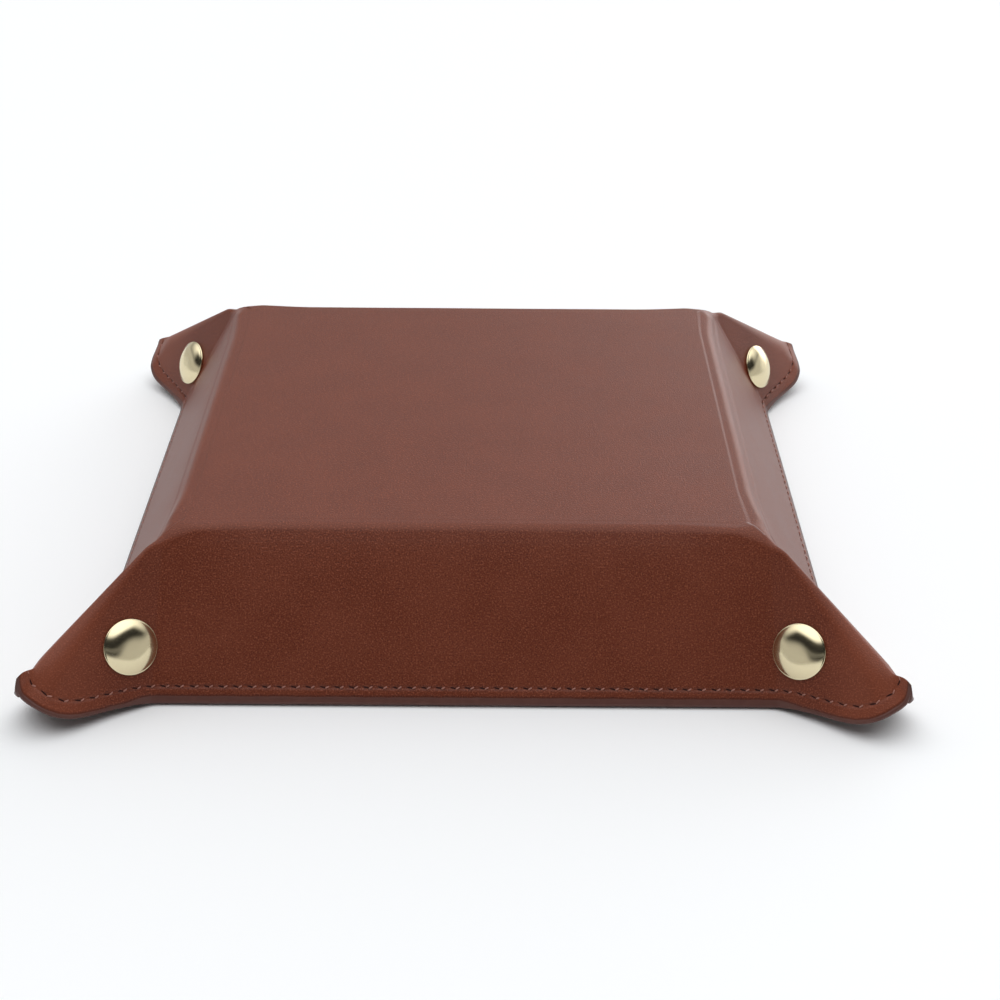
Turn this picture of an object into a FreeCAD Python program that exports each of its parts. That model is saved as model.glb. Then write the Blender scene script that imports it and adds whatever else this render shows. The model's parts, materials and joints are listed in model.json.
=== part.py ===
"""Leather valet tray with four pinched corners, standing upside down on its rim.

The tray is one square sheet: outer leather, stiff boards and a lining. Every piece is
drawn in the flat sheet, outer face up at height 0 and depth counted downwards, and is
then folded: each wall about its base crease, each half ear about its valley line, and
each ridge strip about its ridge line. All fold lines lie on the outer face and meet in
the base corner, so the same pieces lie flat again when the tray is opened.
"""
import FreeCAD
import Part
import math
import os

V = FreeCAD.Vector

# Driving dimensions, in millimetres and degrees
base_side = 160.0            # between the base creases
wall_slant = 47.0            # from the base crease to the sheet's edge
wall_angle = 60.3            # wall to level when the corners are snapped
valley_angle = 3.0           # valley line to the wall's side edge, in the flat sheet
ridge_angle = 3.0            # half the sector of the ridge strip, in the flat sheet
sheet_corner_radius = 24.0   # rounded corner of the flat sheet
lobe_rise = 3.3              # each half ear's rim stands out this far past the plain rounded corner
lobe_start = 2.0             # along the rim from the wall's side edge to the lobe's start
lobe_top = 28.0              # the same to its highest place
lobe_end = 47.0              # the same to where it would end, past the sheet's diagonal
leather_thickness = 1.2
lining_thickness = 1.2
board_thickness = 1.0
seam_gap = 0.15              # each piece stays this far from a fold line
corner_relief = 2.5          # ears start this far from the base corner
base_board_inset = 4.5       # base board to base crease
wall_board_inset = 4.5       # wall board to base crease
hem_width = 6.5              # wall board to the sheet's edge
wall_board_end_inset = 5.0   # wall board to the valley line
field_margin = 1.3           # raised field of the lining round a board
edge_rounding = 0.8          # painted edge
stitch_inset = 4.6           # seam to the sheet's edge
stitch_pitch = 3.85
thread_radius = 0.35
thread_leg_radius = 0.25
thread_depth = 0.1           # middle of the thread below the leather's face
thread_end_inset = 1.0       # seam's end to the valley line
cap_radius = 7.5
cap_height = 2.4
cap_rim_height = 0.7
post_radius = 1.6
post_grip = 1.2              # post inside the socket or stud
post_clearance = 0.1
snap_distance = 33.2         # snap to the base corner
snap_clearance = 0.15        # cap to the valley line
socket_flange_radius = 5.4
socket_radius = 3.9
socket_mouth_radius = 2.3
socket_cavity_depth = 2.6
snap_seat = 0.7              # middle of the stud's ball stays this far out of the socket's mouth
stud_flange_radius = 4.6
stud_foot_radius = 2.6
stud_foot_height = 1.8
stud_neck_radius = 1.2
stud_ball_radius = 1.9
flange_thickness = 0.6
rim_stations = 12            # points that the ear's rim is drawn through
same_place = 0.01            # points nearer than this count as one
rim_tolerance = 0.1          # an edge whose middle is nearer to the rim than this is part of it

# Sizes worked out from them
half_base = base_side / 2
half_sheet = half_base + wall_slant
edge_thickness = leather_thickness + lining_thickness
board_stack = edge_thickness + board_thickness
slope = math.radians(wall_angle)
base_height = ((wall_slant - edge_rounding) * math.sin(slope)
               + (edge_thickness - edge_rounding) * math.cos(slope) + edge_rounding)
crease_half = wall_angle / 2
diagonal_angle = 45.0        # sheet's diagonal to the wall's side edge
ridge_line = diagonal_angle - ridge_angle
rim_straight = wall_slant - sheet_corner_radius
rim_length = rim_straight + sheet_corner_radius * math.radians(diagonal_angle)
FAR = 4 * half_sheet         # past every piece
WALLS = ["front", "right", "back", "left"]


def ray(angle, side=1):
    """Direction in the flat sheet, that far in degrees from the front wall's side edge."""
    a = math.radians(angle)
    return V(side * math.sin(a), -math.cos(a), 0)


def turn(axis, degrees, centre):
    """Rotation about a line through centre."""
    return FreeCAD.Placement(V(0, 0, 0), FreeCAD.Rotation(axis, degrees), centre)


def ear_folds():
    """Valley fold and ridge fold, in degrees, that bring the two halves of an ear together.

    With the wall folded, the ridge line has to stand off the corner's diagonal plane by
    the sine of the ridge angle, and the strip beyond it has to cross that plane squarely.
    """
    wall = FreeCAD.Rotation(V(1, 0, 0), wall_angle)
    outwards = V(-1, -1, 0).normalize()
    valley = wall.multVec(ray(valley_angle))
    ridge = wall.multVec(ray(ridge_line))
    along = valley * valley.dot(ridge)
    level = outwards.dot(along)
    swing = outwards.dot(ridge - along)
    rise = outwards.dot(valley.cross(ridge))
    reach = (math.sin(math.radians(ridge_angle)) - level) / math.hypot(swing, rise)
    middle = math.atan2(rise, swing)
    choices = [middle + math.acos(reach), middle - math.acos(reach)]
    choices = [math.atan2(math.sin(c), math.cos(c)) for c in choices]
    valley_fold = math.degrees(min(c for c in choices if c > 0))
    flap = FreeCAD.Rotation(valley, valley_fold)
    line = flap.multVec(ridge)
    face = flap.multVec(wall.multVec(V(0, 0, 1)))
    wanted = line.cross(outwards).normalize()
    if wanted.z < 0:
        wanted = wanted * -1
    ridge_fold = math.degrees(math.atan2(face.cross(wanted).dot(line), face.dot(wanted)))
    return valley_fold, ridge_fold


valley_fold, ridge_fold = ear_folds()
ridge_half = abs(ridge_fold) / 2

snap_angle = valley_angle + math.degrees(math.asin((cap_radius + snap_clearance) / snap_distance))


def corner(side):
    """Base corner at one end of the front wall, in the flat sheet."""
    return V(side * half_base, -half_base, 0)


def to_rest_base():
    return FreeCAD.Placement(V(0, 0, base_height), FreeCAD.Rotation())


def to_rest_wall():
    return to_rest_base().multiply(turn(V(1, 0, 0), wall_angle, V(0, -half_base, 0)))


def to_rest_flap(side):
    return to_rest_wall().multiply(turn(ray(valley_angle, side), side * valley_fold, corner(side)))


def to_rest_ridge(side):
    return to_rest_flap(side).multiply(turn(ray(ridge_line, side), side * ridge_fold, corner(side)))


def plate(wire, top, bottom):
    """Flat piece between two depths below the outer face."""
    face = Part.Face(wire)
    face.translate(V(0, 0, -bottom))
    return face.extrude(V(0, 0, bottom - top))


def polygon(points):
    return Part.makePolygon(points + [points[0]])


def mitre(point, direction, half_angle, keep):
    """Wedge to cut away along a fold line, so that folded neighbours clear on the inside."""
    along = V(direction).normalize()
    inwards = along.cross(V(0, 0, 1)).normalize()
    if inwards.dot(keep - point) < 0:
        inwards = inwards * -1
    start = point + inwards * seam_gap
    lean = inwards * (FAR * math.tan(math.radians(half_angle)))
    low = V(0, 0, -FAR)
    section = [start + V(0, 0, FAR), start, start + lean + low, start - inwards * FAR + low,
               start - inwards * FAR + V(0, 0, FAR)]
    section = [p - along * FAR for p in section]
    return Part.Face(polygon(section)).extrude(along * (2 * FAR))


def wedge():
    """Everything on the front wall's side of the two diagonal planes."""
    tip = -seam_gap * math.sqrt(2)
    points = [V(0, tip, -FAR), V(FAR, tip - FAR, -FAR), V(-FAR, tip - FAR, -FAR)]
    return Part.Face(polygon(points)).extrude(V(0, 0, 2 * FAR))


FRONT_WEDGE = wedge()


def wall_outline(start, stop, end_inset):
    """Front wall between two distances from the base crease, its ends along the valley lines."""
    slant = math.tan(math.radians(valley_angle))
    inset = end_inset / math.cos(math.radians(valley_angle))
    wide = half_base + stop * slant - inset
    narrow = half_base + start * slant - inset
    return polygon([V(-narrow, -half_base - start, 0), V(-wide, -half_base - stop, 0),
                    V(wide, -half_base - stop, 0), V(narrow, -half_base - start, 0)])


def lobe(run):
    """How far the rim stands out, at a distance along the rim from the wall's side edge."""
    width = lobe_top - lobe_start if run < lobe_top else lobe_end - lobe_top
    share = min(abs(run - lobe_top) / width, 1)
    return lobe_rise * (1 + math.cos(math.pi * share)) / 2


def rim_point(side, run):
    """Point of the ear's rim in the flat sheet."""
    angle = math.degrees(max(run - rim_straight, 0) / sheet_corner_radius)
    middle = corner(side) + V(side * min(run, rim_straight), -rim_straight, 0)
    return middle + ray(angle, side) * (sheet_corner_radius + lobe(run))


def sheet_quarter(side):
    """Corner square of the sheet with its lobed corner, cut along the sheet's diagonal."""
    origin = corner(side)
    start = rim_point(side, 0)
    begin = rim_point(side, lobe_start)
    length = rim_length - lobe_start
    spline = Part.BSplineCurve()
    spline.interpolate([rim_point(side, lobe_start + length * i / rim_stations)
                        for i in range(rim_stations + 1)])
    tip = rim_point(side, rim_length)
    edges = [Part.LineSegment(start, begin).toShape(), spline.toShape(),
             Part.LineSegment(tip, origin).toShape(), Part.LineSegment(origin, start).toShape()]
    return Part.Wire(Part.__sortEdges__(edges))


def sector(side, low, high, clear_low, clear_high):
    """Tall prism over the sector between two rays from the base corner."""
    origin = corner(side)
    first, last = ray(low, side), ray(high, side)
    middle = ray((low + high) / 2, side)
    half = math.radians((high - low) / 2)
    shift = (clear_low + clear_high) / 2 / math.sin(half)
    skew = (clear_low - clear_high) / 2 / math.cos(half)
    across = ray((low + high) / 2 + 90, side)
    tip = origin + middle * shift + across * skew
    points = [tip + V(0, 0, -FAR), tip + first * FAR + V(0, 0, -FAR), tip + last * FAR + V(0, 0, -FAR)]
    return Part.Face(polygon(points)).extrude(V(0, 0, 2 * FAR))


def relief(side):
    """Round clearance hole at the base corner."""
    return Part.makeCylinder(corner_relief, 2 * FAR, corner(side) - V(0, 0, FAR))


def on_outline(p):
    """Whether a point of the flat sheet lies on the sheet's outer edge."""
    low, high = sorted([abs(p.x) - half_base, abs(p.y) - half_base])
    turned_by = math.atan2(max(low - rim_straight, 0), high - rim_straight)
    run = min(low, rim_straight) + sheet_corner_radius * turned_by
    reach = math.hypot(max(low - rim_straight, 0), high - rim_straight)
    return abs(reach - sheet_corner_radius - lobe(run)) < rim_tolerance


def rounded_edge(shape, depth):
    """Rounds the sheet's outer edge where it meets the face at that depth."""
    picked = []
    for edge in shape.Edges:
        middle = edge.valueAt((edge.FirstParameter + edge.LastParameter) / 2)
        ends = [v.Point for v in edge.Vertexes]
        level = all(abs(p.z + depth) < same_place for p in ends + [middle])
        if level and on_outline(middle):
            picked.append(edge)
    return shape.makeFillet(edge_rounding, picked) if picked else shape


def base_square(inset):
    s = half_base - inset
    return polygon([V(-s, -s, 0), V(s, -s, 0), V(s, s, 0), V(-s, s, 0)])


def base_crease_mitres():
    """Mitre wedges along the four base creases, seen from the base."""
    first = mitre(V(0, -half_base, 0), V(1, 0, 0), crease_half, V(0, 0, 0))
    wedges = []
    for quarter in range(4):
        copy = first.copy()
        copy.rotate(V(0, 0, 0), V(0, 0, 1), 90 * quarter)
        wedges.append(copy)
    return wedges


def base_leather():
    shape = plate(base_square(0), 0, leather_thickness)
    return shape.cut(base_crease_mitres())


def base_board():
    return plate(base_square(base_board_inset), leather_thickness, leather_thickness + board_thickness)


def base_lining():
    hem = plate(base_square(0), leather_thickness, edge_thickness)
    field = plate(base_square(base_board_inset - field_margin), leather_thickness, board_stack)
    return hem.fuse(field).cut(base_crease_mitres() + [base_board()]).removeSplitter()


def wall_trims():
    return [mitre(V(0, -half_base, 0), V(1, 0, 0), crease_half, V(0, -half_sheet, 0))]


def wall_thread():
    """Lockstitch seam: a thread on each face and a leg through every needle hole."""
    y = -half_sheet + stitch_inset
    slant = math.tan(math.radians(valley_angle))
    reach = half_base + (wall_slant - stitch_inset) * slant - thread_end_inset
    count = int(2 * reach / stitch_pitch)
    length = count * stitch_pitch
    low = edge_thickness - thread_depth
    runs = [Part.makeCylinder(thread_radius, length, V(-length / 2, y, -z), V(1, 0, 0))
            for z in (thread_depth, low)]
    legs = [Part.makeCylinder(thread_leg_radius, low - thread_depth,
                              V(-length / 2 + (i + 0.5) * stitch_pitch, y, -low))
            for i in range(count)]
    return runs[0].multiFuse(runs[1:] + legs)


def wall_leather():
    shape = plate(wall_outline(0, wall_slant, seam_gap), 0, leather_thickness)
    return rounded_edge(shape, 0).cut(wall_trims() + [wall_thread()])


def wall_board():
    outline = wall_outline(wall_board_inset, wall_slant - hem_width, wall_board_end_inset)
    return plate(outline, leather_thickness, leather_thickness + board_thickness).cut(wall_trims())


def wall_lining():
    hem = plate(wall_outline(0, wall_slant, seam_gap), leather_thickness, edge_thickness)
    hem = rounded_edge(hem, edge_thickness)
    outline = wall_outline(wall_board_inset - field_margin, wall_slant - hem_width + field_margin,
                           wall_board_end_inset - field_margin)
    field = plate(outline, leather_thickness, board_stack)
    return hem.fuse(field).cut(wall_trims() + [wall_board(), wall_thread()]).removeSplitter()


def snap_point(side):
    """Snap's centre on the outer face of the flat sheet."""
    return corner(side) + ray(snap_angle, side) * snap_distance


def flap_sheet(side, top, bottom):
    """One layer of a half ear, from the valley line to the ridge line."""
    shape = plate(sheet_quarter(side), top, bottom)
    beyond = corner(side) + ray(valley_angle, side) * wall_slant
    fold = mitre(corner(side), ray(ridge_line, side), ridge_half, beyond)
    shape = shape.common(sector(side, valley_angle, ridge_line, seam_gap, 0))
    return shape.cut([fold, relief(side)])


def post_hole(side):
    return Part.makeCylinder(post_radius + post_clearance, 2 * FAR, snap_point(side) - V(0, 0, FAR))


def flap_leather(side):
    return rounded_edge(flap_sheet(side, 0, leather_thickness), 0).cut(post_hole(side))


def flap_lining(side):
    shape = flap_sheet(side, leather_thickness, edge_thickness)
    return rounded_edge(shape, edge_thickness).cut(post_hole(side))


def ridge_strip(side):
    """Both layers between the ridge line and the sheet's diagonal."""
    shape = plate(sheet_quarter(side), 0, edge_thickness)
    diagonal = corner(side) + ray(diagonal_angle, side) * wall_slant
    fold = mitre(corner(side), ray(ridge_line, side), ridge_half, diagonal)
    strip = sector(side, ridge_line, diagonal_angle, 0, seam_gap)
    strip = rounded_edge(rounded_edge(shape, 0), edge_thickness).common(strip)
    return strip.cut([fold, relief(side)])


def turned(profile, centre):
    """Solid of revolution about the depth axis through centre."""
    face = Part.Face(profile)
    solid = face.revolve(V(0, 0, 0), V(0, 0, 1), 360)
    solid.translate(centre)
    return solid


def cap(side):
    """Domed cap outside the leather, with the post that passes through both layers."""
    top = V(0, 0, cap_height)
    rim_top = V(cap_radius, 0, cap_rim_height)
    rise = cap_height - cap_rim_height
    dome_radius = (cap_radius ** 2 + rise ** 2) / (2 * rise)
    half_way = cap_radius / 2
    middle = V(half_way, 0, cap_height - dome_radius + math.sqrt(dome_radius ** 2 - half_way ** 2))
    end = -edge_thickness - post_grip
    corners = [rim_top, V(cap_radius, 0, 0), V(post_radius, 0, 0), V(post_radius, 0, end),
               V(0, 0, end), top]
    edges = [Part.Arc(top, middle, rim_top).toShape()]
    edges += [Part.LineSegment(a, b).toShape() for a, b in zip(corners, corners[1:])]
    return turned(Part.Wire(edges), snap_point(side))


def ball_height(side):
    """Distance along the snap's axis from the lining to the corner's diagonal plane."""
    rest = to_rest_flap(side)
    start = rest.multVec(snap_point(side) - V(0, 0, edge_thickness))
    axis = rest.Rotation.multVec(V(0, 0, -1))
    outwards = V(side, 1, 0)
    return -start.dot(outwards) / axis.dot(outwards)


def socket(side):
    """Cup with a flange on the lining; the post is spread in its floor."""
    height = ball_height(side) - snap_seat
    floor = height - socket_cavity_depth
    points = [V(post_radius, 0, 0), V(socket_flange_radius, 0, 0),
              V(socket_flange_radius, 0, -flange_thickness), V(socket_radius, 0, -flange_thickness),
              V(socket_radius, 0, -height), V(socket_mouth_radius, 0, -height),
              V(socket_mouth_radius, 0, -floor), V(0, 0, -floor), V(0, 0, -post_grip),
              V(post_radius, 0, -post_grip)]
    return turned(polygon(points), snap_point(side) - V(0, 0, edge_thickness))


def stud(side):
    """Ball on a neck with a flange on the lining; its ball meets the socket's mouth."""
    height = ball_height(side)
    points = [V(post_radius, 0, 0), V(stud_flange_radius, 0, 0),
              V(stud_flange_radius, 0, -flange_thickness), V(stud_foot_radius, 0, -flange_thickness),
              V(stud_foot_radius, 0, -stud_foot_height), V(0, 0, -stud_foot_height),
              V(0, 0, -post_grip), V(post_radius, 0, -post_grip)]
    foot = turned(polygon(points), V(0, 0, 0))
    neck = Part.makeCylinder(stud_neck_radius, height - post_grip, V(0, 0, -height))
    ball = Part.makeSphere(stud_ball_radius, V(0, 0, -height))
    shape = foot.multiFuse([neck, ball])
    shape.translate(snap_point(side) - V(0, 0, edge_thickness))
    return shape


def put(shape, placement, quarter, trim):
    """Folds a flat piece to rest, trims it at the diagonal planes and turns it to its wall."""
    solid = shape.copy()
    solid.Placement = placement.multiply(solid.Placement)
    if trim:
        solid = solid.common(FRONT_WEDGE)
    solid.rotate(V(0, 0, 0), V(0, 0, 1), 90 * quarter)
    return solid


def save(shape, node):
    if len(shape.Solids) == 1:
        shape = shape.Solids[0]
    shape.exportStep("parts/" + node + ".step")
    print("%-28s solids %d valid %s volume %.1f" % (node, len(shape.Solids), shape.isValid(), shape.Volume))


def main():
    os.makedirs("parts", exist_ok=True)
    print("valley fold %.3f ridge fold %.3f height %.3f" % (valley_fold, ridge_fold, base_height))
    print("middle of the stud's ball %.3f above the lining" % ball_height(1))
    save(put(base_leather(), to_rest_base(), 0, False), "base_leather")
    save(put(base_board(), to_rest_base(), 0, False), "base_board")
    save(put(base_lining(), to_rest_base(), 0, False), "base_lining")
    wall_pieces = {"leather": wall_leather(), "board": wall_board(), "lining": wall_lining(),
                   "thread": wall_thread()}
    ear_pieces = {}
    for side in (-1, 1):
        ear_pieces[side] = {"leather": flap_leather(side), "lining": flap_lining(side)}
    for quarter, wall in enumerate(WALLS):
        for name, shape in wall_pieces.items():
            save(put(shape, to_rest_wall(), quarter, True), "%s_wall_%s" % (wall, name))
        for side in (-1, 1):
            neighbour = WALLS[(quarter + side) % 4]
            flap, ridge = to_rest_flap(side), to_rest_ridge(side)
            for name, shape in ear_pieces[side].items():
                save(put(shape, flap, quarter, True), "%s_ear_%s_%s" % (wall, neighbour, name))
            save(put(ridge_strip(side), ridge, quarter, True), "%s_ear_%s_ridge" % (wall, neighbour))
            save(put(cap(side), flap, quarter, False), "%s_cap_%s" % (wall, neighbour))
            if wall in ("front", "back"):
                save(put(socket(side), flap, quarter, False), "%s_socket_%s" % (wall, neighbour))
            else:
                save(put(stud(side), flap, quarter, False), "%s_stud_%s" % (wall, neighbour))


main()
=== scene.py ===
"""Dresses a leather valet tray that stands upside down on its rim.

The outer leather and the lining are soft sheets. Each is drawn flat, folded sharply as the
frame's joints say, and then rounded: a point of the soft sheet is the mean of the sharply
folded places over a small disc round it. Small bends are added: the base creases stand in from
their fold lines, and the ears flare, press together and curl at their tips. The sheets are cut
into the pieces that the joints move, and into strips along every fold.
"""
import json
import math

import bpy
import numpy as np
from bpy.props import FloatProperty, FloatVectorProperty, IntProperty, PointerProperty
from mathutils import Matrix


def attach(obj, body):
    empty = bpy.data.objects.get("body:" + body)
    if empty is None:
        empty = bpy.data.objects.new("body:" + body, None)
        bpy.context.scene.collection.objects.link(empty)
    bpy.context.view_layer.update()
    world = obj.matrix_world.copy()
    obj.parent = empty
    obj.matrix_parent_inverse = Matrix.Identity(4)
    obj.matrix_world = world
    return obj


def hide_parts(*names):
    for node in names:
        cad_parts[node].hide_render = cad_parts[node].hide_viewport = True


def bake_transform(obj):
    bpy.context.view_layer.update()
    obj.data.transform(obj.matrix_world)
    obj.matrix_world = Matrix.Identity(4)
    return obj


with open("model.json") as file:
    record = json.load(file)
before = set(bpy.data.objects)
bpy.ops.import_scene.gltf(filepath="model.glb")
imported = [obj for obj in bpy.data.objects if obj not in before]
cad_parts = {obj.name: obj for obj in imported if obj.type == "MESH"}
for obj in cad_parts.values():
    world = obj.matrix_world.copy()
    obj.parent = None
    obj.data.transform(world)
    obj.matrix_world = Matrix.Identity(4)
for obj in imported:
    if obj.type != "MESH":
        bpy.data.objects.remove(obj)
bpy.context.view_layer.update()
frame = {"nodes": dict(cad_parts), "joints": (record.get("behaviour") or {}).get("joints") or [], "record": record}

bl_info = {
    "name": "Leather valet tray",
    "version": (1, 0, 0),
    "blender": (4, 5, 0),
    "location": "3D View > Sidebar > Tray",
    "description": "Soft leather sheets, seams, snaps and finishes of a folded valet tray",
    "category": "Object",
}

MM = 0.001
WALLS = ("front", "right", "back", "left")
LAYERS = ("leather", "lining")
JOINTS = {joint["name"]: joint for joint in frame["joints"]}
RATIOS = {c["joint"]: c["ratio"] for c in frame["record"]["behaviour"]["couplings"]}
BASE_CORNER = np.array(JOINTS["front_ear_right_open"]["pos_m"])
HALF_BASE = BASE_CORNER[0]
OPENING = math.radians(JOINTS["front_wall_fold"]["range_deg"][1])
MIRROR = np.diag([-1.0, 1.0, 1.0])
SWAP = np.array([[0.0, -1.0, 0.0], [-1.0, 0.0, 0.0], [0.0, 0.0, 1.0]])


def length(label, text, value):
    """A size in metres, shown in the panel."""
    return FloatProperty(name=label, description=text, default=value, min=0.0, precision=5,
                         unit="LENGTH")


def share(label, text, value):
    """A plain number from 0 upwards."""
    return FloatProperty(name=label, description=text, default=value, min=0.0, precision=3)


def colour(label, text, value):
    """A linear colour."""
    return FloatVectorProperty(name=label, description=text, default=value, size=3, min=0.0, max=1.0,
                               subtype="COLOR")


class TraySheetSizes(bpy.types.PropertyGroup):
    """Sizes of the soft sheets."""
    wall_slant: length("Wall slant", "Base crease to the sheet's edge", 47 * MM)
    corner_radius: length("Corner radius", "Rounded corner of the flat sheet", 24 * MM)
    leather: length("Leather", "Thickness of the outer leather", 1.2 * MM)
    lining: length("Lining", "Thickness of the lining", 1.2 * MM)
    board: length("Board", "Thickness of the boards", 1.0 * MM)
    lobe_rise: length("Lobe rise", "Ear's rim past the plain rounded corner", 3.3 * MM)
    lobe_start: length("Lobe start", "Side edge to the lobe's start, along the rim", 2.0 * MM)
    lobe_top: length("Lobe top", "Side edge to the lobe's highest place", 28.0 * MM)
    lobe_end: length("Lobe end", "Side edge to where the lobe would end", 51.0 * MM)
    flare: length("Flare", "How far the ear's rim bends outwards", 1.2 * MM)
    flare_zone: length("Flare zone", "Width of the rim that bends outwards", 7.0 * MM)
    flare_top: length("Flare top", "Side edge to the greatest flare, along the rim", 26.0 * MM)
    flare_half: length("Flare half", "Half length of the flare along the rim", 8.0 * MM)
    pinch: share("Pinch", "How far the halves of an ear are pressed together at the tip, up to 1",
                 0.68)
    pinch_reach: length("Pinch reach", "Length of rim from the tip that is pressed together",
                        12.5 * MM)
    curl: length("Curl", "How far an ear's tip curls up", 3.3 * MM)
    back_curl: share("Back curl", "Curl of the two ears behind, as a share of the curl in front",
                     0.25)
    curl_half: length("Curl half", "Half length of the curl along the rim", 2.7 * MM)
    edge_round: length("Edge rounding", "Rounding of the painted edge", 0.8 * MM)
    edge_groove: length("Edge groove", "Groove between the two layers in the painted edge",
                        0.05 * MM)
    board_inset: length("Board inset", "Board to base crease", 4.5 * MM)
    hem: length("Hem", "Wall board to the sheet's edge", 6.5 * MM)
    board_end: length("Board end", "Wall board to the valley line", 5.0 * MM)
    field_ramp: length("Field ramp", "Slope of the lining beside a board", 1.3 * MM)
    sink: length("Sink", "How far the leather sinks off a board's edge", 0.17 * MM)
    crease_shift: length("Crease shift", "How far the base creases stand in from the fold lines",
                         1.9 * MM)
    crease_reach: length("Crease reach", "Length of wall over which the leather comes out again",
                         6.0 * MM)
    crease_disc: length("Crease disc", "Rounding disc on the base creases", 1.8 * MM)
    crease_half: length("Crease half", "Half the width of the strip that bends at a base crease",
                        4.8 * MM)
    corner_disc: length("Corner disc", "Rounding disc at a base corner", 4.6 * MM)
    valley_disc: length("Valley disc", "Rounding disc on the wall's side of a valley line",
                        4.6 * MM)
    flap_disc: length("Flap disc", "Rounding disc on the ear's side of a valley line", 1.4 * MM)
    ridge_disc: share("Ridge disc", "Rounding disc on a ridge as a share of the distance to the corner",
                      0.14)
    valley_wide: length("Valley width", "Valley strip on the wall, along the rim", 7.2 * MM)
    valley_narrow: length("Valley reach", "Valley strip on the ear, along the rim", 4.1 * MM)
    ridge_turn: share("Ridge turn", "Start of the ridge strip round the rounded corner, in degrees",
                      17.0)
    zone: length("Edge zone", "Width of the finely meshed zone along the rim", 8 * MM)
    fine: length("Fine step", "Mesh step along the rim", 0.48 * MM)

    @property
    def straight(self):
        """Straight rim past a wall's side edge, up to the rounded corner."""
        return self.wall_slant - self.corner_radius


class TraySeamSizes(bpy.types.PropertyGroup):
    """Sizes of the lockstitch seam."""
    pitch: length("Stitch pitch", "Length of one stitch", 3.85 * MM)
    inset: length("Seam inset", "Seam to the sheet's edge", 4.6 * MM)
    groove: length("Groove depth", "How deep the seam pulls the leather in", 0.2 * MM)
    groove_half: length("Groove half width", "Half the width of the seam's groove", 0.42 * MM)
    thread: length("Thread radius", "Radius of the thread", 0.24 * MM)
    bit_half: length("Stitch half length", "Half the length of thread that shows", 0.52 * MM)
    slot_half: length("Slot half length", "Half the length of a needle slot", 0.88 * MM)
    slot_thick: length("Slot half width", "Half the width of a needle slot", 0.24 * MM)
    slot_phase: share("Slot phase", "Place of a slot in its stitch, as a share of the pitch", 0.2)
    bit_slant: share("Stitch slant", "Rise of the thread for each length run", 0.5)
    slot_slant: share("Slot slant", "Fall of the slot for each length run", 0.24)


class TraySnapSizes(bpy.types.PropertyGroup):
    """Sizes of the snap caps."""
    distance: length("Snap distance", "Snap to the base corner", 33.2 * MM)
    cap_radius: length("Cap radius", "Radius of the domed cap", 7.5 * MM)
    cap_height: length("Cap height", "Height of the domed cap", 2.4 * MM)
    rim_height: length("Rim height", "Height of the rolled rim", 0.7 * MM)
    dome_power: share("Dome power", "2 for a round dome, more for one that is flatter in the middle",
                      3.3)
    valley_gap: length("Valley gap", "Cap to valley line", 0.15 * MM)
    post_radius: length("Post radius", "Radius of the post through the ear", 1.6 * MM)
    post_grip: length("Post grip", "Post past the lining", 1.2 * MM)
    sides: IntProperty(name="Sides", description="Divisions round a cap", default=96, min=12)


class TrayColours(bpy.types.PropertyGroup):
    """Colours of the finishes."""
    leather: colour("Leather", "Outer leather", (0.1325, 0.0266, 0.0102))
    # Lighter leather colour: random light clouds, plus the painted glints on the grain's flecks and painted
    # highlights along the folds and on the ears
    leather_light_and_highlight: colour("Worn leather", "Leather where it is stretched or rubbed", (0.275, 0.074,
                          0.037))
    # Dark colour of the pores, and of the painted shade in the needle slots and the painted shadow along the
    # paint's lip
    leather_dark_and_shade: colour("Deep leather", "Leather in pores and needle slots", (0.030, 0.0045,
                         0.0025))
    paint: colour("Edge paint", "Painted edge", (0.110, 0.046, 0.037))
    lining: colour("Lining", "Lining leather", (0.120, 0.036, 0.020))
    thread: colour("Thread", "Waxed thread", (0.46, 0.20, 0.15))
    gold: colour("Pale gold", "Plating of the snaps", (0.80, 0.70, 0.46))
    board: colour("Board", "Fibre board", (0.27, 0.21, 0.15))
    floor: colour("Floor", "Plain pale floor", (0.90, 0.915, 0.93))


class TrayStageSettings(bpy.types.PropertyGroup):
    """Camera and light."""
    camera_place: FloatVectorProperty(name="Camera place", description="Where the camera stands",
                                      default=(8.2 * MM, -525.9 * MM, 283.2 * MM), size=3,
                                      unit="LENGTH")
    camera_down: FloatProperty(name="Camera tilt", description="How far the camera looks down",
                               default=math.radians(27.57), unit="ROTATION")
    camera_yaw: FloatProperty(name="Camera yaw", description="Turn of the camera to the right",
                              default=0.0017, unit="ROTATION")
    camera_roll: FloatProperty(name="Camera roll", description="Roll of the camera",
                               default=math.radians(0.45), unit="ROTATION")
    lens: share("Lens", "Focal length in millimetres on a 36 mm sensor", 68.54)
    zenith: share("Zenith light", "Strength of the sky overhead", 1.74)
    zenith_start: share("Zenith start", "Height at which the light overhead begins, as a sine",
                        0.10)
    back: share("Back light", "Strength of the sky behind the tray", 2.6)
    back_heading: FloatProperty(name="Back heading", default=math.radians(35), unit="ROTATION",
                                description="Turn of the back light to the right")
    back_start: share("Back start", "Where the back light begins, as the cosine to its heading",
                      0.8)
    low: share("Low light", "Strength of the sky near the horizon, beside the camera", 0.56)
    floor_reach: length("Floor reach", "Half side of the floor", 60.0)
    floor_seen: share("Floor seen", "Floor's brightness for the camera, 1 for its own colour",
                      1.055)
    backdrop: share("Backdrop", "How bright the sky is for the camera, 1 for white", 0.97)
    room: share("Dark room", "How far the dark band round the camera takes the light away", 0.97)


def rotation(axis, angle):
    """Rodrigues' formula: turn by angle about a unit axis."""
    x, y, z = np.array(axis) / np.linalg.norm(axis)
    cross = np.array([[0, -z, y], [z, 0, -x], [-y, x, 0]])
    return np.eye(3) + math.sin(angle) * cross + (1 - math.cos(angle)) * cross @ cross


def closing(joint):
    """Turn that takes a joint from the flat sheet back to rest."""
    return rotation(JOINTS[joint]["axis"], -OPENING * RATIOS.get(joint, 1.0))


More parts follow.
